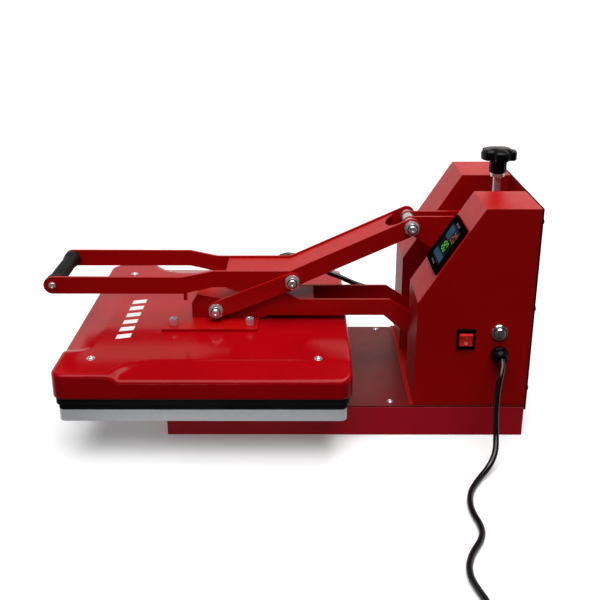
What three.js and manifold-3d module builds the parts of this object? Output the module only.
// Clamshell heat press, 38 x 38 cm platen, closed. Millimetres, +Z up.
// -X is the operator's side (grip), +X the tower; right is -Y and left is +Y as the operator sees them.
// Everything is drawn about the centre of the square platen; the last group moves the origin to the
// middle of the footprint of the machine without its cord.
import * as THREE from 'three';
import { mergeVertices } from 'three/addons/utils/BufferGeometryUtils.js';
import Module from 'manifold-3d';

const wasm = await Module();
wasm.setup();

// ---- driving dimensions -------------------------------------------------------------------------
const GAP = 0.3; // clearance between pieces that touch
const SHEET = 2; // bent sheet steel
const RIGHT = -1;
const LEFT = 1;

// base box
const BASE_FRONT = -59.4;
const BASE_REAR = 440.5;
const BASE_HALF = 127;
const BASE_TOP = 46.5;
const LIP = 22; // inward lips of the rails

// lower platen stack
const PLATEN_HALF = 190;
const PLATEN_BOTTOM = 61;
const PLATEN_TOP = 77.6;
const PAD_THICK = 8;

// heating head
const HEATER_HALF = 192.5;
const HEATER_BOTTOM = PLATEN_TOP + PAD_THICK + 2 * GAP;
const HEATER_TOP = HEATER_BOTTOM + 15;
const COVER_HALF = 196.7;
const COVER_BOTTOM = 96.5;
const COVER_TOP = 131.7;
const COVER_CORNER = 18;
const CREASE_DROP = 9; // how far the sloping margins fall from the top to the edge
const MARGIN = 40; // width of the sloping margins

// pivots in the X-Z plane
const HINGE = [335, 92]; // platen arm in the tower
const LOWER_PIVOT = [5, 151.4]; // lower links on the platen arm
const MIDDLE_PIVOT = [116.5, 196.7]; // lower links on the lever
const UPPER_PIVOT = [286, 277]; // lever on the pressure bracket
const BRACKET_PIVOT = [345, 258]; // pressure bracket in the tower
const SCREW_X = 409.5; // pressure screw

// layers across the machine: [inner face, outer face] of the plates on each side
const BRACKET_LAYER = [11, 15];
const ARM_LAYER = [24.6, 28.8];
const LEVER_LAYER = [29.3, 33.3];
const LINK_LAYER = [34, 38.5];
const GRIP_LAYER = [53.3, 57.3];
const NUT_THICK = 9;

// lever
const GRIP_X = -224.6;
const GRIP_Z = 198.3;
const LEVER_HALF = 12.75; // half the height of the handle plates
const JOG = [-41, 2]; // where the handle plates step inwards

// tower
const TOWER_FRONT = 285.4;
const SLOPE_BOTTOM = 202.4;
const SLOPE_TOP_X = 368.4;
const TOWER_TOP = 334;
const SLOT_HALF = 43.3; // half the open slot between the housings
const TOWER_FLOOR = BASE_TOP + GAP + SHEET + GAP;
const FOOT_PLATE_FRONT = 279.8;
const PANEL_X = BASE_REAR + GAP;
const SCREW_HEAD = 2.6;

// mains cord
const CORD_R = 3.9;
const GLAND_X = 399.4;
const GLAND_Z = 127.2;
const GLAND_LENGTH = 17.5;
const COIL = { x: 272, y: -535, inner: 40, outer: 59, height: 15.5 };

const MACHINE_REAR = PANEL_X + SHEET + SCREW_HEAD;
const ORIGIN_X = (MACHINE_REAR + GRIP_X - LEVER_HALF) / 2;

// ---- finishes -----------------------------------------------------------------------------------
const finish = (color, roughness, metalness) => new THREE.MeshStandardMaterial({ color, roughness, metalness });
const RED = () => finish(0x9c0710, 0.35, 0.1);
const SKIRT_RED = () => finish(0x8e1220, 0.4, 0.1);
const STEEL = () => finish(0xc8c8ca, 0.3, 1);
const ALUMINIUM = () => finish(0xb9bac2, 0.35, 1);
const BLACK = () => finish(0x101012, 0.5, 0);
const GREY = () => finish(0x8c8f88, 0.8, 0);

// ---- solids -------------------------------------------------------------------------------------
const MERGE_DISTANCE = 1e-4;

function solid(geometry) {
  const bare = geometry.index ? geometry.toNonIndexed() : geometry.clone();
  bare.deleteAttribute('normal');
  bare.deleteAttribute('uv');
  const merged = mergeVertices(bare, MERGE_DISTANCE);
  const vertProperties = new Float32Array(merged.attributes.position.array);
  const triVerts = new Uint32Array(merged.index.array);
  return new wasm.Manifold(new wasm.Mesh({ numProp: 3, vertProperties, triVerts }));
}

function geometryOf(manifold) {
  const mesh = manifold.getMesh();
  const geometry = new THREE.BufferGeometry();
  geometry.setAttribute('position', new THREE.BufferAttribute(new Float32Array(mesh.vertProperties), 3));
  geometry.setIndex(new THREE.BufferAttribute(new Uint32Array(mesh.triVerts), 1));
  geometry.computeVertexNormals();
  return geometry;
}

const join = (...parts) => geometryOf(parts.map(solid).reduce((a, b) => a.add(b)));
const cut = (body, ...tools) => geometryOf(tools.map(solid).reduce((a, b) => a.subtract(b), solid(body)));
const common = (a, b) => geometryOf(solid(a).intersect(solid(b)));

function box([x0, x1], [y0, y1], [z0, z1]) {
  const geometry = new THREE.BoxGeometry(x1 - x0, y1 - y0, z1 - z0);
  return geometry.translate((x0 + x1) / 2, (y0 + y1) / 2, (z0 + z1) / 2);
}

// A span measured outwards from the middle plane, on one side of the machine.
const span = (side, [inner, outer]) => (side === LEFT ? [inner, outer] : [-outer, -inner]);

function outline(points) {
  return new THREE.Shape(points.map(([a, b]) => new THREE.Vector2(a, b)));
}

function extrude(shape, depth, curveSegments = 4) {
  return new THREE.ExtrudeGeometry(shape, { depth, bevelEnabled: false, curveSegments });
}

// An outline in X-Z, with its thickness along Y.
function sidePlate(shape, [y0, y1], curveSegments) {
  return extrude(shape, y1 - y0, curveSegments).rotateX(Math.PI / 2).translate(0, y1, 0);
}

// An outline in X-Y, with its thickness along Z.
function flatPlate(shape, [z0, z1], curveSegments) {
  return extrude(shape, z1 - z0, curveSegments).translate(0, 0, z0);
}

function crossRod(radius, [y0, y1], [x, z], sides = 20) {
  return new THREE.CylinderGeometry(radius, radius, y1 - y0, sides).translate(x, (y0 + y1) / 2, z);
}

function upright(radius, [z0, z1], [x, y], sides = 20) {
  const geometry = new THREE.CylinderGeometry(radius, radius, z1 - z0, sides).rotateX(Math.PI / 2);
  return geometry.translate(x, y, (z0 + z1) / 2);
}

// A profile of [radius, height] turned about an upright axis.
function turned(profile, segments = 20) {
  const points = profile.map(([r, h]) => new THREE.Vector2(r, h));
  return new THREE.LatheGeometry(points, segments).rotateX(Math.PI / 2);
}

// The same, lying along -Y, with the profile's height running outwards from the origin.
const turnedOutwards = (profile, segments) => turned(profile, segments).rotateX(Math.PI / 2);

function roundedRect([x0, x1], [y0, y1], r) {
  const shape = new THREE.Shape();
  shape.moveTo(x0 + r, y0);
  shape.lineTo(x1 - r, y0);
  shape.absarc(x1 - r, y0 + r, r, -Math.PI / 2, 0, false);
  shape.lineTo(x1, y1 - r);
  shape.absarc(x1 - r, y1 - r, r, 0, Math.PI / 2, false);
  shape.lineTo(x0 + r, y1);
  shape.absarc(x0 + r, y1 - r, r, Math.PI / 2, Math.PI, false);
  shape.lineTo(x0, y0 + r);
  shape.absarc(x0 + r, y0 + r, r, Math.PI, 1.5 * Math.PI, false);
  return shape;
}

// The section of a sheet bent along a line of points; the thickness lies to the right of the line.
function bentSheet(points, thickness) {
  const path = points.map(([a, b]) => new THREE.Vector2(a, b));
  const normal = (a, b) => new THREE.Vector2(b.y - a.y, a.x - b.x).normalize();
  const inner = path.map((p, i) => {
    const before = normal(path[Math.max(i - 1, 0)], path[Math.max(i, 1)]);
    const after = normal(path[Math.min(i, path.length - 2)], path[Math.min(i + 1, path.length - 1)]);
    const mitre = before.clone().add(after).normalize();
    return p.clone().addScaledVector(mitre, thickness / mitre.dot(after));
  });
  return new THREE.Shape([...path, ...inner.reverse()]);
}

// A bar with round ends between two points in X-Z.
function linkOutline([x0, z0], [x1, z1], radius) {
  const angle = Math.atan2(z1 - z0, x1 - x0);
  const shape = new THREE.Shape();
  shape.absarc(x1, z1, radius, angle - Math.PI / 2, angle + Math.PI / 2, false);
  shape.absarc(x0, z0, radius, angle + Math.PI / 2, angle + 1.5 * Math.PI, false);
  shape.closePath();
  return shape;
}

// ---- the scene ----------------------------------------------------------------------------------
const press = new THREE.Group();
press.position.x = -ORIGIN_X;

function piece(name, geometry, material, position = [0, 0, 0]) {
  const mesh = new THREE.Mesh(geometry, material);
  mesh.name = name;
  mesh.position.set(...position);
  press.add(mesh);
  return mesh;
}

const sideName = (side) => (side === RIGHT ? 'right' : 'left');

// ---- base ---------------------------------------------------------------------------------------
function baseRail(side) {
  const underDeck = BASE_TOP - SHEET - GAP;
  const lipEnds = [BASE_FRONT + SHEET + GAP, BASE_REAR - SHEET - GAP];
  const wall = box([BASE_FRONT, BASE_REAR], span(side, [BASE_HALF - SHEET, BASE_HALF]), [0, underDeck]);
  const lip = (z) => box(lipEnds, span(side, [BASE_HALF - LIP, BASE_HALF - SHEET / 2]), z);
  return join(wall, lip([underDeck - SHEET, underDeck]), lip([0, SHEET]));
}

function baseEndWall(outerX, innerX) {
  const underDeck = BASE_TOP - SHEET - GAP;
  const reach = Math.sign(innerX - outerX);
  const order = (a, b) => [Math.min(a, b), Math.max(a, b)];
  const between = BASE_HALF - LIP - GAP;
  const wall = box(order(outerX, outerX + reach * SHEET), [-BASE_HALF + SHEET + GAP, BASE_HALF - SHEET - GAP],
    [0, underDeck]);
  const lip = (z) => box(order(outerX + reach, outerX + reach * LIP), [-between, between], z);
  return join(wall, lip([underDeck - SHEET, underDeck]), lip([0, SHEET]));
}

function deckPlate() {
  return box([BASE_FRONT, BASE_REAR], [-BASE_HALF, BASE_HALF], [BASE_TOP - SHEET, BASE_TOP]);
}

piece('base_rail_right', baseRail(RIGHT), SKIRT_RED());
piece('base_rail_left', baseRail(LEFT), SKIRT_RED());
piece('base_front_wall', baseEndWall(BASE_FRONT, 0), SKIRT_RED());
piece('base_rear_wall', baseEndWall(BASE_REAR, 0), SKIRT_RED());
piece('deck_plate', deckPlate(), RED());

// ---- lower platen -------------------------------------------------------------------------------
const PEDESTAL = { x: [-48, 148], half: 95, wall: 3 };

function pedestal() {
  const z0 = BASE_TOP + GAP;
  const z1 = PLATEN_BOTTOM - GAP;
  const tube = box(PEDESTAL.x, [-PEDESTAL.half, PEDESTAL.half], [z0, z1]);
  const inside = PEDESTAL.half - PEDESTAL.wall;
  const ends = [PEDESTAL.x[0] - 1, PEDESTAL.x[1] + 1];
  const bore = box(ends, [-inside, inside], [z0 + PEDESTAL.wall, z1 - PEDESTAL.wall]);
  const web = box(PEDESTAL.x, [-PEDESTAL.wall, PEDESTAL.wall], [z0, z1]);
  return join(cut(tube, bore), web);
}

const square = (half, r) => roundedRect([-half, half], [-half, half], r);

piece('platen_pedestal', pedestal(), RED());
piece('lower_platen', flatPlate(square(PLATEN_HALF, 9), [PLATEN_BOTTOM, PLATEN_TOP]), ALUMINIUM());
piece('silicone_pad', flatPlate(square(PLATEN_HALF, 9), [PLATEN_TOP + GAP, PLATEN_TOP + GAP + PAD_THICK]), BLACK());

// ---- heating head -------------------------------------------------------------------------------
const ARM_BOLTS = { x: 55, y: 54, radius: 4, farFront: -15 };
const ELEMENT = { half: 150, pitch: 60, width: 10, height: 7 };

// A flat tubular element folded back and forth across the platen.
function heatingElement() {
  const z = [HEATER_TOP + GAP, HEATER_TOP + GAP + ELEMENT.height];
  const runs = [];
  const count = Math.round((2 * ELEMENT.half) / ELEMENT.pitch);
  for (let i = 0; i <= count; i += 1) {
    const y = -ELEMENT.half + i * ELEMENT.pitch;
    runs.push(box([-ELEMENT.half, ELEMENT.half], [y - ELEMENT.width / 2, y + ELEMENT.width / 2], z));
    if (i < count) {
      const x = i % 2 ? -ELEMENT.half : ELEMENT.half;
      const turn = [x - ELEMENT.width / 2, x + ELEMENT.width / 2];
      runs.push(box(turn, [y - ELEMENT.width / 2, y + ELEMENT.pitch + ELEMENT.width / 2], z));
    }
  }
  return join(...runs);
}

// The pressed pan: a rounded block whose front, right and left margins slope down to the edge.
function coverBlock(inset) {
  const bevel = 3.5;
  const half = COVER_HALF - inset;
  const top = COVER_TOP - inset;
  const depth = top - COVER_BOTTOM + 20;
  const block = new THREE.ExtrudeGeometry(square(half, COVER_CORNER - inset), {
    depth, bevelThickness: bevel, bevelSize: bevel, bevelOffset: -bevel, bevelSegments: 1, curveSegments: 4,
  }).translate(0, 0, top - bevel - depth);
  return cut(block, frontMargin(half, top), ...[RIGHT, LEFT].map((side) => sideMargin(side, half, top)));
}

// Above the slope that falls from the flat top to the edge, drawn outwards along +X.
function marginWedge(half, top, length) {
  const beyond = 10;
  const run = MARGIN + (half - COVER_HALF);
  const fall = (CREASE_DROP * (run + beyond)) / MARGIN;
  const section = outline([
    [half - run, top], [half + beyond, top - fall], [half + beyond, top + beyond], [half - run, top + beyond],
  ]);
  return sidePlate(section, length);
}

function sideMargin(side, half, top) {
  const edge = half + 5;
  const inner = half - MARGIN;
  const plan = outline([
    [-112, edge], [-112, half - 3], [-95, inner + 16], [-62, inner + 1], [-48, inner - 0.5],
    [edge, inner - 0.5], [edge, edge],
  ]);
  const wedge = marginWedge(half, top, [-edge, edge]).rotateZ(Math.PI / 2);
  const region = flatPlate(plan, [COVER_BOTTOM, top + 10]);
  const tool = common(wedge, region);
  return side === LEFT ? tool : geometryOf(solid(tool).mirror([0, 1, 0]));
}

function frontMargin(half, top) {
  const edge = half + 5;
  const inner = half - MARGIN;
  const reach = 128;
  const plan = outline([
    [edge, -reach], [edge, reach], [inner + 12, reach], [inner + 2, reach - 9], [inner - 0.5, reach - 25],
    [inner - 0.5, -reach + 25], [inner + 2, -reach + 9], [inner + 12, -reach],
  ]);
  const region = flatPlate(plan, [COVER_BOTTOM, top + 10]);
  return common(marginWedge(half, top, [-edge, edge]), region).rotateZ(Math.PI);
}

function cover() {
  const below = box([-300, 300], [-300, 300], [COVER_BOTTOM - 60, COVER_BOTTOM]);
  const boltHole = (at) => upright(ARM_BOLTS.radius + GAP, [COVER_TOP - 10, COVER_TOP + 5], at, 16);
  const holes = boltPlaces().map(boltHole);
  return cut(coverBlock(0), coverBlock(SHEET), below, ...holes);
}

function boltPlaces() {
  const { x, y, farFront } = ARM_BOLTS;
  return [[-x, -y], [farFront, y], [x, -y], [x, y]];
}

piece('heating_platen', flatPlate(square(HEATER_HALF, 9), [HEATER_BOTTOM, HEATER_TOP]), BLACK());
piece('heating_element', heatingElement(), STEEL());
const INSULATION_BOTTOM = HEATER_TOP + ELEMENT.height + 2 * GAP;
piece('insulation_blanket', box([-165, 165], [-165, 165], [INSULATION_BOTTOM, INSULATION_BOTTOM + 10]), GREY());
piece('cover', cover(), RED());

// ---- platen arm ---------------------------------------------------------------------------------
const BASE_PLATE = { x: [-71, 67], bar: 44, half: 69, z: [COVER_TOP + GAP, COVER_TOP + GAP + 3.8] };
const ARM_FLOOR = BASE_PLATE.z[1] + GAP;
const ARM_TOP = 164.5;
const ARM_UNDER = 139.5;
const BUSH = { bore: 8.3, outer: 11.5, length: 6.5 };
const TAIL_R = 17;

// The top line of the arm from its nose to the end of its web.
const ARM_CREST = [
  [-31.5, ARM_FLOOR], [-31.5, 158.5], [-23.2, 172.6], [2, 167.6], [30, ARM_TOP], [78, ARM_TOP],
  [92, 174.8], [108, 175.3], [127, ARM_TOP],
];

function armPlate(side) {
  const [hx, hz] = HINGE;
  const tail = Math.atan2(150 - hz, 262 - hx);
  const offset = [TAIL_R * Math.sin(tail), -TAIL_R * Math.cos(tail)];
  const shape = outline([
    ...ARM_CREST, [259, ARM_TOP], [282, 149], [hx + offset[0], hz + offset[1]],
    [hx - offset[0], hz - offset[1]], [266, 126], [251, ARM_UNDER], [78, ARM_UNDER], [75, ARM_FLOOR],
  ]);
  const blank = join(sidePlate(shape, span(side, ARM_LAYER)), crossRod(TAIL_R, span(side, ARM_LAYER), HINGE, 32));
  const bore = crossRod(BUSH.outer + GAP, [-60, 60], HINGE, 32);
  const pinHole = crossRod(6 + GAP, [-60, 60], LOWER_PIVOT);
  return cut(blank, bore, pinHole);
}

function armWeb() {
  const inside = ARM_LAYER[0] - GAP;
  const line = [...ARM_CREST.map(([x, z]) => [x, z - 0.3]), [147.5, ARM_TOP - 0.3]];
  line[0] = [ARM_CREST[0][0] + 0.3, ARM_FLOOR];
  line[1] = [ARM_CREST[1][0] + 0.3, ARM_CREST[1][1]];
  return sidePlate(bentSheet(line, 3.5), [-inside, inside]);
}

// The foot: a plate under the arm's plates, with a bolted bar on each side; the right-hand one reaches further forward.
function armBasePlate() {
  const between = [ARM_CREST[0][0], BASE_PLATE.x[1]];
  const middle = box(between, [-BASE_PLATE.bar - 1, BASE_PLATE.bar + 1], BASE_PLATE.z);
  const bars = [RIGHT, LEFT].map((side) => {
    const along = side === RIGHT ? BASE_PLATE.x : between;
    return flatPlate(roundedRect(along, span(side, [BASE_PLATE.bar, BASE_PLATE.half]), 3), BASE_PLATE.z, 3);
  });
  const plate = join(middle, ...bars);
  const boltHole = (at) => upright(ARM_BOLTS.radius + GAP, [COVER_TOP - 5, COVER_TOP + 10], at, 16);
  const holes = boltPlaces().map(boltHole);
  return cut(plate, ...holes);
}

function hingeBush(side) {
  const length = [ARM_LAYER[0] - 1.5, ARM_LAYER[0] - 1.5 + BUSH.length];
  const y = span(side, length);
  const sleeve = crossRod(BUSH.outer, y, HINGE, 32);
  return cut(sleeve, crossRod(BUSH.bore, [y[0] - 1, y[1] + 1], HINGE, 32));
}

// Socket head bolt standing on the arm's base plate, its shank through plate and cover.
function armBolt() {
  const head = 6.3;
  const height = 10.5;
  const shank = BASE_PLATE.z[1] - 125;
  const profile = [
    [0, -shank], [ARM_BOLTS.radius - 0.3, -shank], [ARM_BOLTS.radius - 0.3, GAP], [head, GAP], [head, height - 0.8],
    [head - 0.8, height], [3.4, height], [3.4, height - 5], [0, height - 5],
  ];
  return turned(profile, 18);
}

for (const side of [RIGHT, LEFT]) {
  piece(`arm_plate_${sideName(side)}`, armPlate(side), RED());
  piece(`hinge_bush_${sideName(side)}`, hingeBush(side), finish(0xb08d4c, 0.4, 1));
}
piece('arm_web', armWeb(), RED());
piece('arm_base_plate', armBasePlate(), RED());
boltPlaces().forEach(([x, y], i) => {
  piece(`arm_bolt_${i + 1}`, armBolt(), STEEL(), [x, y, BASE_PLATE.z[1]]);
});

// Flexible lead from the cover's grommet over the arm into the tower's slot, to beside the hinge.
const HEATER_LEAD_R = 4;
const HEATER_LEAD_ROUTE = [
  [84, 62, COVER_TOP + 2], [82, 62, 152], [83, 60.5, 176], [91, 59.5, 193.5], [107, 59, 201.5],
  [126, 58, 198], [147, 55, 187.5], [170, 49.5, 176.5], [190, 43.5, 170.5], [210, 38.5, 163],
  [232, 36.2, 156], [258, 36, 148.5],
  [284, 36, 139], [306, 36, 127.5], [325, 36, 114],
];

function tube(points, radius, sides, steps) {
  const path = new THREE.CatmullRomCurve3(points.map((p) => new THREE.Vector3(...p)), false, 'centripetal');
  const ring = new THREE.Shape();
  ring.absarc(0, 0, radius, 0, 2 * Math.PI, false);
  const curveSegments = sides / 2; // a full circle is drawn with two chords to a segment
  return new THREE.ExtrudeGeometry(ring, { extrudePath: path, steps, curveSegments, bevelEnabled: false });
}

piece('heater_lead', tube(HEATER_LEAD_ROUTE, HEATER_LEAD_R, 10, 34), BLACK());

// ---- lever --------------------------------------------------------------------------------------
const LEVER_UNDER = GRIP_Z - LEVER_HALF;
const LEVER_CREST = GRIP_Z + LEVER_HALF;
const LEVER_KNEE = [112.5, 210.5];
const LEVER_NOSE_R = 12.6;
const LEVER_CREST_AIM = [280.7, 288.4]; // the crest rises from the knee towards this point
const BOLT_R = 6;

// The lever seen from the side: a straight handle, bent up past the middle pivot to the upper one.
function leverSilhouette() {
  const [ux, uz] = UPPER_PIVOT;
  const rise = Math.atan2(LEVER_CREST_AIM[1] - LEVER_KNEE[1], LEVER_CREST_AIM[0] - LEVER_KNEE[0]);
  const shape = new THREE.Shape();
  shape.moveTo(GRIP_X, LEVER_UNDER);
  shape.lineTo(19, LEVER_UNDER);
  shape.lineTo(35, 179.5);
  shape.lineTo(104, 179.5);
  shape.lineTo(129, 190.6);
  shape.absarc(ux, uz, LEVER_NOSE_R, rise - Math.PI / 2, rise + Math.PI / 2, false);
  shape.lineTo(...LEVER_KNEE);
  shape.lineTo(20, LEVER_CREST - 0.7);
  shape.lineTo(GRIP_X, LEVER_CREST);
  shape.absarc(GRIP_X, GRIP_Z, LEVER_HALF, Math.PI / 2, 1.5 * Math.PI, false);
  return shape;
}

// The same plate seen from above: wide at the grip, stepping inwards to the channel.
function leverPlan(side) {
  const [gripIn, gripOut] = GRIP_LAYER.map((y) => y * side);
  const [leverIn, leverOut] = LEVER_LAYER.map((y) => y * side);
  const front = GRIP_X - 20;
  const rear = UPPER_PIVOT[0] + 20;
  const [j0, j1] = JOG;
  return outline([
    [front, gripOut], [j0, gripOut], [j1, leverOut], [rear, leverOut], [rear, leverIn], [j1 - 1.5, leverIn],
    [j0 - 1.5, gripIn], [front, gripIn],
  ]);
}

function leverPlate(side) {
  const blank = common(
    sidePlate(leverSilhouette(), [-70, 70], 7),
    flatPlate(leverPlan(side), [LEVER_UNDER - 20, UPPER_PIVOT[1] + 30]),
  );
  const drill = (at, r) => crossRod(r, [-70, 70], at);
  const pivots = [UPPER_PIVOT, MIDDLE_PIVOT].map((at) => drill(at, BOLT_R + GAP));
  const holes = [drill([GRIP_X, GRIP_Z], 4 + GAP), ...pivots];
  const tabAcross = span(side, [GRIP_LAYER[0] - 2, GRIP_LAYER[1] - 2.5]);
  const tab = box([JOG[0] + 2, JOG[0] + 7], tabAcross, [174.5, 190]);
  return side === RIGHT ? cut(join(blank, tab), ...holes) : cut(blank, ...holes);
}

// The channel's top web: level over the links, then up the slope to a round notch before the bracket.
function leverWeb() {
  const inside = LEVER_LAYER[0] - GAP;
  const recess = 2.2;
  const knee = [LEVER_KNEE[0] + 0.5, LEVER_KNEE[1] - recess];
  const line = [[19.8, LEVER_CREST - 0.7 - recess], knee, [264, 280.7 - recess]];
  const sheet = sidePlate(bentSheet(line, 3), [-inside, inside]);
  const notch = new THREE.CylinderGeometry(23, 23, 60, 32).rotateX(Math.PI / 2).scale(0.6, 1, 1);
  return cut(sheet, notch.translate(266, 0, 277));
}

function gripSleeve() {
  const half = GRIP_LAYER[0] - GAP;
  const bore = 8.3;
  const profile = [
    [bore, -half], [12, -half], [12.6, -half + 1], [12.6, -half + 10], [11, -half + 14], [11, half - 14],
    [12.6, half - 10], [12.6, half - 1], [12, half], [bore, half], [bore, -half],
  ];
  return turned(profile, 24).rotateX(Math.PI / 2).translate(GRIP_X, 0, GRIP_Z);
}

// The bar inside the grip, with a shouldered stud and a domed screw head outside each plate.
function gripBar() {
  const inside = GRIP_LAYER[0] - GAP;
  const outside = GRIP_LAYER[1] + GAP;
  const half = [
    [8, inside], [4, inside], [4, outside], [5.2, outside], [4.8, outside + 1.8], [2.5, outside + 2.8],
    [0, outside + 3],
  ];
  const profile = [...[...half].reverse().map(([r, h]) => [r, -h]), ...half];
  return turned(profile, 16).rotateX(Math.PI / 2).translate(GRIP_X, 0, GRIP_Z);
}

// A hexagon prism along Y, from one face to the other.
function hexagon(length, at) {
  const acrossFlats = 19;
  return crossRod(acrossFlats / Math.sqrt(3), length, at, 6);
}

const WASHER_R = 10.6;
const U_NUT_FACE = LEVER_LAYER[1] + GAP;
const M_NUT_FACE = LINK_LAYER[1] + GAP;

function pivotBolt(face, at) {
  const head = hexagon([face, face + NUT_THICK - 1], at);
  const shank = crossRod(BOLT_R, [-face - NUT_THICK - 3, face + 1], at);
  return join(head, shank);
}

// A flanged nut on the right-hand end of a pivot bolt.
function pivotNut(face, at) {
  const washer = crossRod(WASHER_R, [-face - 1.4, -face], at, 32);
  const nut = hexagon([-face - NUT_THICK, -face - 1], at);
  return cut(join(washer, nut), crossRod(BOLT_R + GAP, [-80, 0], at));
}

for (const side of [RIGHT, LEFT]) piece(`lever_plate_${sideName(side)}`, leverPlate(side), RED());
piece('lever_web', leverWeb(), RED());
piece('handle_grip', gripSleeve(), BLACK());
piece('grip_bar', gripBar(), STEEL());
piece('upper_bolt', pivotBolt(U_NUT_FACE, UPPER_PIVOT), STEEL());
piece('upper_nut', pivotNut(U_NUT_FACE, UPPER_PIVOT), STEEL());

// ---- lower links --------------------------------------------------------------------------------
const LINK_R = 12.6;

// The links carry studs at the middle pivot that stop short of the lever, where the loop is open.
function lowerLink(side) {
  const bar = sidePlate(linkOutline(LOWER_PIVOT, MIDDLE_PIVOT, LINK_R), span(side, LINK_LAYER), 7);
  return cut(bar, crossRod(BOLT_R + GAP, [-60, 60], LOWER_PIVOT), crossRod(BOLT_R + GAP, [-60, 60], MIDDLE_PIVOT));
}

function middleStud(side) {
  const out = M_NUT_FACE;
  const shank = crossRod(BOLT_R, span(side, [LINK_LAYER[0], out + NUT_THICK + 2]), MIDDLE_PIVOT);
  const washer = crossRod(WASHER_R, span(side, [out, out + 1.4]), MIDDLE_PIVOT, 32);
  const nut = hexagon(span(side, [out + 1, out + NUT_THICK]), MIDDLE_PIVOT);
  return join(shank, washer, nut);
}

for (const side of [RIGHT, LEFT]) {
  piece(`lower_link_${sideName(side)}`, lowerLink(side), RED());
  piece(`middle_stud_${sideName(side)}`, middleStud(side), STEEL());
}
piece('lower_bolt', pivotBolt(M_NUT_FACE, LOWER_PIVOT), STEEL());
piece('lower_nut', pivotNut(M_NUT_FACE, LOWER_PIVOT), STEEL());

// ---- tower --------------------------------------------------------------------------------------
const HINGE_SHAFT_R = 8;
const PIN_R = 6;
const SCREW_BORE = 6.6; // clearance around the pressure screw
const FRAME_PLATE = { layer: [SLOT_HALF + SHEET + GAP, SLOT_HALF + SHEET + GAP + 6], top: 306 };

function housingOutline(inset) {
  const [run, rise] = [SLOPE_TOP_X - TOWER_FRONT, TOWER_TOP - SLOPE_BOTTOM];
  const slant = Math.hypot(run, rise);
  const shift = inset * (slant - rise) / run; // how far the slope's corners move along the walls
  const kink = inset * (slant - run) / rise;
  return outline([
    [TOWER_FRONT + inset, TOWER_FLOOR - inset * 5], [TOWER_FRONT + inset, SLOPE_BOTTOM - shift],
    [SLOPE_TOP_X + kink, TOWER_TOP - inset], [BASE_REAR + inset * 5, TOWER_TOP - inset],
    [BASE_REAR + inset * 5, TOWER_FLOOR - inset * 5],
  ]);
}

const SWITCH = { x: [339.8, 365.4], z: [134.8, 164.6] };
const RESET = { at: [397.6, 159.6], ring: 11.7 };
const SLOPE = new THREE.Vector2(SLOPE_TOP_X - TOWER_FRONT, TOWER_TOP - SLOPE_BOTTOM);
const SLOPE_ANGLE = Math.atan2(SLOPE.y, SLOPE.x);
const DISPLAY = { along: 80.5, y: -85.2, size: 74, window: 52 };

// Moves a piece drawn lying on its back at the origin to the display's place on the right-hand slope.
function ontoSlope(geometry) {
  const x = TOWER_FRONT + DISPLAY.along * Math.cos(SLOPE_ANGLE);
  const z = SLOPE_BOTTOM + DISPLAY.along * Math.sin(SLOPE_ANGLE);
  return geometry.rotateY(-SLOPE_ANGLE).translate(x, DISPLAY.y, z);
}

function housing(side) {
  const outer = sidePlate(housingOutline(0), span(side, [SLOT_HALF, BASE_HALF]));
  const inner = sidePlate(housingOutline(SHEET), span(side, [SLOT_HALF + SHEET, BASE_HALF - SHEET]));
  const tools = [inner, crossRod(HINGE_SHAFT_R + GAP, span(side, [0, 60]), HINGE),
    crossRod(PIN_R + GAP, span(side, [0, 60]), BRACKET_PIVOT)];
  if (side === RIGHT) {
    const half = DISPLAY.window / 2 + 4;
    const through = [-BASE_HALF - 5, -BASE_HALF + 10];
    tools.push(ontoSlope(box([-half, half], [-half, half], [-8, 8])));
    tools.push(box([SWITCH.x[0] + 1.6, SWITCH.x[1] - 1.6], through, [SWITCH.z[0] + 1.6, SWITCH.z[1] - 1.6]));
    tools.push(crossRod(9.3, through, RESET.at), crossRod(9.3, through, [GLAND_X, GLAND_Z]));
  }
  return cut(outer, ...tools);
}

// Thick plates inside the housings that hold the hinge shaft, the bracket's pin and the bridge.
function framePlate(side) {
  const [hx] = HINGE;
  const shape = outline([
    [298, TOWER_FLOOR], [298, 190], [322, 236], [356, 290], [372, FRAME_PLATE.top], [432, FRAME_PLATE.top],
    [432, TOWER_FLOOR],
  ]);
  const blank = sidePlate(shape, span(side, FRAME_PLATE.layer));
  const opening = box([hx + 28, 412], span(side, [40, 60]), [TOWER_FLOOR + 25, 225]);
  const bores = [[HINGE_SHAFT_R, HINGE], [PIN_R, BRACKET_PIVOT]].map(([r, at]) => crossRod(r + GAP, [-60, 60], at));
  return cut(blank, opening, ...bores);
}

const BRIDGE = { x: [386, 434], z: [292, 300] };

function bridge() {
  const reach = SLOT_HALF - GAP;
  const top = box(BRIDGE.x, [-reach, reach], BRIDGE.z);
  const earHeight = [BRIDGE.z[0] - 22, BRIDGE.z[1]];
  const ears = [RIGHT, LEFT].map((side) => box(BRIDGE.x, span(side, [reach - 4, reach]), earHeight));
  return cut(join(top, ...ears), upright(SCREW_BORE, [280, 330], [SCREW_X, 0]));
}

function backPanel() {
  const sheet = box([PANEL_X, PANEL_X + SHEET], [-BASE_HALF, BASE_HALF], [40, TOWER_TOP]);
  const heads = [];
  for (const side of [RIGHT, LEFT]) {
    for (const z of [72.7, 192.6, 315.8]) {
      const dome = turned([[0, -1], [4.5, -1], [4.5, 0.8], [3, 2.1], [0, SCREW_HEAD]], 12).rotateY(Math.PI / 2);
      heads.push(dome.translate(PANEL_X + SHEET, side * 121.5, z));
    }
  }
  return join(sheet, ...heads);
}

// A stepped pin across the tower: its ends in the frame plates.
const acrossTower = (radius, at) => crossRod(radius, [-FRAME_PLATE.layer[1] - 2, FRAME_PLATE.layer[1] + 2], at, 28);

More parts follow.
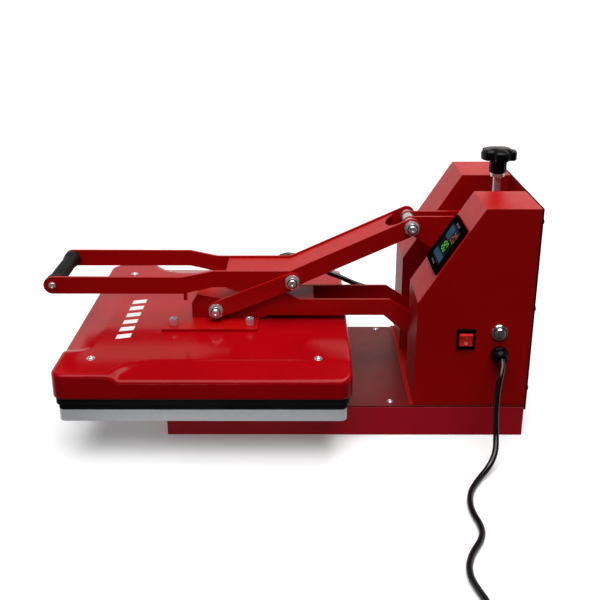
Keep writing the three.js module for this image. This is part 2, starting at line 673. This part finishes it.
piece('tower_foot_plate', box([FOOT_PLATE_FRONT, BASE_REAR], [-BASE_HALF + 0.5, BASE_HALF - 0.5],
  [BASE_TOP + GAP, BASE_TOP + GAP + SHEET]), RED());
for (const side of [RIGHT, LEFT]) {
  piece(`housing_${sideName(side)}`, housing(side), RED());
  piece(`frame_plate_${sideName(side)}`, framePlate(side), RED());
}
piece('tower_bridge', bridge(), RED());
piece('back_panel', backPanel(), RED());
piece('hinge_shaft', acrossTower(HINGE_SHAFT_R, HINGE), STEEL());
piece('bracket_pin', acrossTower(PIN_R, BRACKET_PIVOT), STEEL());

// ---- pressure bracket and screw -----------------------------------------------------------------
const TRUNNION = { radius: 11, half: 10.5, end: 5 };

// Two plates, a floor between them and a pivot tube for the lever; the tail carries the trunnion nut.
function pressureBracket() {
  const [ux, uz] = UPPER_PIVOT;
  const crest = 287.5;
  const shape = new THREE.Shape();
  shape.moveTo(ux, crest);
  shape.absarc(ux, uz, crest - uz, Math.PI / 2, 1.35 * Math.PI, false);
  shape.lineTo(291, 258);
  shape.lineTo(317, 241.5);
  shape.lineTo(BRACKET_PIVOT[0] + 12, 240);
  shape.lineTo(SCREW_X + 8, 243);
  shape.lineTo(SCREW_X + 15, 250);
  shape.lineTo(SCREW_X + 15, 268);
  shape.lineTo(SCREW_X - 2, crest);
  const plates = [RIGHT, LEFT].map((side) => sidePlate(shape, span(side, BRACKET_LAYER), 8));
  const floor = sidePlate(bentSheet([[296, 258], [318, 244.2], [BRACKET_PIVOT[0] + 12, 243], [380, 243.7]], 3),
    [-BRACKET_LAYER[0] - 1, BRACKET_LAYER[0] + 1]);
  const reach = LEVER_LAYER[0] - GAP;
  const pivotTube = crossRod(9, [-reach, reach], UPPER_PIVOT, 24);
  const holes = [[BOLT_R, UPPER_PIVOT], [PIN_R, BRACKET_PIVOT], [TRUNNION.end, [SCREW_X, BRACKET_PIVOT[1]]]];
  return cut(join(...plates, floor, pivotTube), ...holes.map(([r, at]) => crossRod(r + GAP, [-40, 40], at)));
}

// A round nut lying across the bracket, on two short trunnions, with the screw's clearance bore.
function trunnionNut() {
  const at = [SCREW_X, BRACKET_PIVOT[1]];
  const body = crossRod(TRUNNION.radius, [-TRUNNION.half, TRUNNION.half], at, 28);
  const ends = crossRod(TRUNNION.end, [-BRACKET_LAYER[1], BRACKET_LAYER[1]], at);
  return cut(join(body, ends), upright(SCREW_BORE, [230, 290], [SCREW_X, 0]));
}

function pressureScrew() {
  const profile = [[0, 236], [4.8, 236], [5.85, 238], [5.85, BRIDGE.z[1] + GAP], [10, BRIDGE.z[1] + GAP],
    [10, BRIDGE.z[1] + 6], [5.85, BRIDGE.z[1] + 6], [5.85, 344], [10.3, 344], [10.3, 350], [0, 350]];
  return turned(profile, 20).translate(SCREW_X, 0, 0);
}

// A disc with five hollows round its rim and a low dome, on a round hub; one lobe faces the right-hand side.
function knob() {
  const lobes = 5;
  const rim = 25.3;
  const hollow = { radius: 9.5, at: 30.5 };
  const shape = new THREE.Shape();
  shape.absarc(0, 0, rim - 1, 0, 2 * Math.PI, false);
  const crown = new THREE.ExtrudeGeometry(shape, {
    depth: 10, bevelThickness: 1, bevelSize: 1, bevelSegments: 1, curveSegments: 24,
  }).translate(0, 0, 369.5);
  const hub = turned([[0, 350.3], [11.8, 350.3], [12.4, 352], [12.4, 366], [15, 370], [0, 370]]);
  const dome = turned([[0, 372], [24.3, 372], [24.3, 380.5], [20, 383.4], [12, 385.6], [0, 386.5]], 48);
  const hollows = [];
  for (let i = 0; i < lobes; i += 1) {
    const angle = -Math.PI / 2 + (2 * Math.PI * (i + 0.5)) / lobes;
    hollows.push(upright(hollow.radius, [365, 390], [hollow.at * Math.cos(angle), hollow.at * Math.sin(angle)], 28));
  }
  return cut(join(crown, hub, dome), ...hollows).translate(SCREW_X, 0, 0);
}

piece('pressure_bracket', pressureBracket(), RED());
piece('trunnion_nut', trunnionNut(), STEEL());
piece('pressure_screw', pressureScrew(), STEEL());
piece('knob', knob(), BLACK());

// ---- controls -----------------------------------------------------------------------------------
function displayBezel() {
  const half = DISPLAY.size / 2;
  const body = flatPlate(roundedRect([-half, half], [-half, half], 4), [GAP, 3.6], 3);
  const opening = DISPLAY.window / 2;
  return ontoSlope(cut(body, box([-opening, opening], [-opening, opening], [-5, 10])));
}

function displayScreen() {
  const half = DISPLAY.window / 2 - GAP;
  return ontoSlope(box([-half, half], [-half, half], [0.5, 3]));
}

function controlBoard() {
  return ontoSlope(box([-34, 34], [-30, 26], [-13, -11]));
}

function switchFrame() {
  const [x, z] = [SWITCH.x, SWITCH.z];
  const front = [-BASE_HALF - 3, -BASE_HALF - GAP];
  const flange = box(x, front, z);
  const hole = box([x[0] + 3.6, x[1] - 3.6], [-BASE_HALF - 6, -BASE_HALF + 16], [z[0] + 4.2, z[1] - 4.2]);
  const barrel = box([x[0] + 2, x[1] - 2], [-BASE_HALF - 1, -BASE_HALF + 15], [z[0] + 2, z[1] - 2]);
  return cut(join(flange, barrel), hole);
}

const ROCKER_AXIS = [-BASE_HALF + 4, (SWITCH.z[0] + SWITCH.z[1]) / 2]; // Y and Z of the rocker's pivot

// The rocker's face is a shallow V; it stands with its lower half pressed in.
function rocker() {
  const halfX = (SWITCH.x[1] - SWITCH.x[0]) / 2 - 3.6 - GAP;
  const halfZ = 10.5;
  const front = -9;
  const section = outline([[0, -4], [front + 1, -halfZ + 1.5], [front, -halfZ + 1.5], [front + 2, 0],
    [front, halfZ - 1.5], [front + 1, halfZ - 1.5], [0, 4]]);
  const body = extrude(section, 2 * halfX).rotateX(Math.PI / 2).rotateZ(Math.PI / 2).translate(-halfX, 0, 0);
  return body.rotateX(THREE.MathUtils.degToRad(8));
}

function resetRing() {
  const profile = [
    [8.2, -6], [9, -6], [9, GAP], [RESET.ring, GAP], [RESET.ring, 2.5], [10.6, 4], [8.2, 4], [8.2, -6],
  ];
  return turnedOutwards(profile, 24);
}

function resetButton() {
  return turnedOutwards([[0, -5], [7.8, -5], [7.8, 4.5], [6.6, 6.6], [4, 7.8], [0, 8.2]], 20);
}

function cordGland() {
  const profile = [[CORD_R + GAP, -6], [9, -6], [9, GAP], [12, GAP], [12, 6], [10.8, 8], [10.8, 11.5], [8, 15],
    [6.6, GLAND_LENGTH], [CORD_R + GAP, GLAND_LENGTH], [CORD_R + GAP, -6]];
  return turnedOutwards(profile, 24);
}

piece('display_bezel', displayBezel(), BLACK());
piece('display_screen', displayScreen(), finish(0x0c1a20, 0.2, 0));
piece('control_board', controlBoard(), finish(0x14532d, 0.6, 0));
piece('switch_frame', switchFrame(), BLACK());
piece('rocker_switch', rocker(), finish(0xd0101a, 0.3, 0), [(SWITCH.x[0] + SWITCH.x[1]) / 2, ...ROCKER_AXIS]);
const onWall = ([x, z]) => [x, -BASE_HALF, z];
piece('reset_ring', resetRing(), STEEL(), onWall(RESET.at));
piece('reset_button', resetButton(), STEEL(), onWall(RESET.at));
piece('cord_gland', cordGland(), BLACK(), onWall([GLAND_X, GLAND_Z]));

// ---- mains cord ---------------------------------------------------------------------------------
// From the gland down to the table and forwards in loose bends to the coil.
const CORD_ROUTE = [
  [399.4, -145.6, 127], [397.6, -156, 120.9], [393.5, -164.5, 110], [390.8, -169, 96.5], [389.7, -171.6, 82],
  [389.2, -174.2, 66.5], [389, -179, 51.5], [388.2, -188.3, 36.3], [385.6, -200, 23.8], [379.5, -210.8, 14.9],
  [370.3, -221.9, 9], [360.1, -233.4, 5.7], [350.9, -246.2, 4.2], [343.4, -260, CORD_R],
  [338.7, -275.1, CORD_R], [336.9, -290.8, CORD_R], [338.1, -306.5, CORD_R], [341, -321.5, CORD_R],
  [340.7, -337.2, CORD_R], [335.2, -351.6, CORD_R], [326.8, -364.8, CORD_R], [319.3, -378.8, CORD_R],
  [314.6, -393.9, CORD_R], [313.9, -409.7, CORD_R], [317.3, -425.1, CORD_R], [322.1, -440.2, CORD_R],
  [325.5, -455.7, CORD_R], [326.7, -471.5, CORD_R], [326.7, -487.4, CORD_R], [326.3, -503.3, CORD_R],
  [326, -535, CORD_R],
];

function coilRing(grow) {
  const { inner, outer, height } = COIL;
  const profile = [
    [inner - grow, -grow], [outer + grow, -grow], [outer + grow, height + grow], [inner - grow, height + grow],
    [inner - grow, -grow],
  ];
  return turned(profile, 48).translate(COIL.x, COIL.y, 0);
}

function powerCord() {
  const route = CORD_ROUTE.map(([x, y, z]) => [x, y, Math.max(z, CORD_R + 0.05)]);
  return cut(tube(route, CORD_R, 10, 70), coilRing(GAP));
}

// Three-pin plug lying on its back, its boot towards the coil.
function mainsPlug() {
  const body = new THREE.ExtrudeGeometry(roundedRect([-26, 22], [-25, 25], 9), {
    depth: 16, bevelThickness: 2, bevelSize: 2, bevelOffset: -2, bevelSegments: 1, curveSegments: 4,
  }).translate(0, 0, 2);
  const pin = (x, y, sx, sy, length) => box([x - sx, x + sx], [y - sy, y + sy], [15, 20 + length]);
  const pins = [pin(-15, 0, 4, 2, 22.7), pin(7.2, -11.1, 2, 3.15, 17.7), pin(7.2, 11.1, 2, 3.15, 17.7)];
  const boot = turned([[0, -6], [8, -6], [8, 6], [5.6, 22], [0, 22]], 20).rotateY(Math.PI / 2).translate(22, 0, 9);
  return join(body, boot, ...pins);
}

piece('power_cord', powerCord(), BLACK());
piece('cord_coil', coilRing(0), BLACK());
piece('mains_plug', mainsPlug(), BLACK(), [COIL.x - 48 - 22, COIL.y - 60, 0]);

export default press;
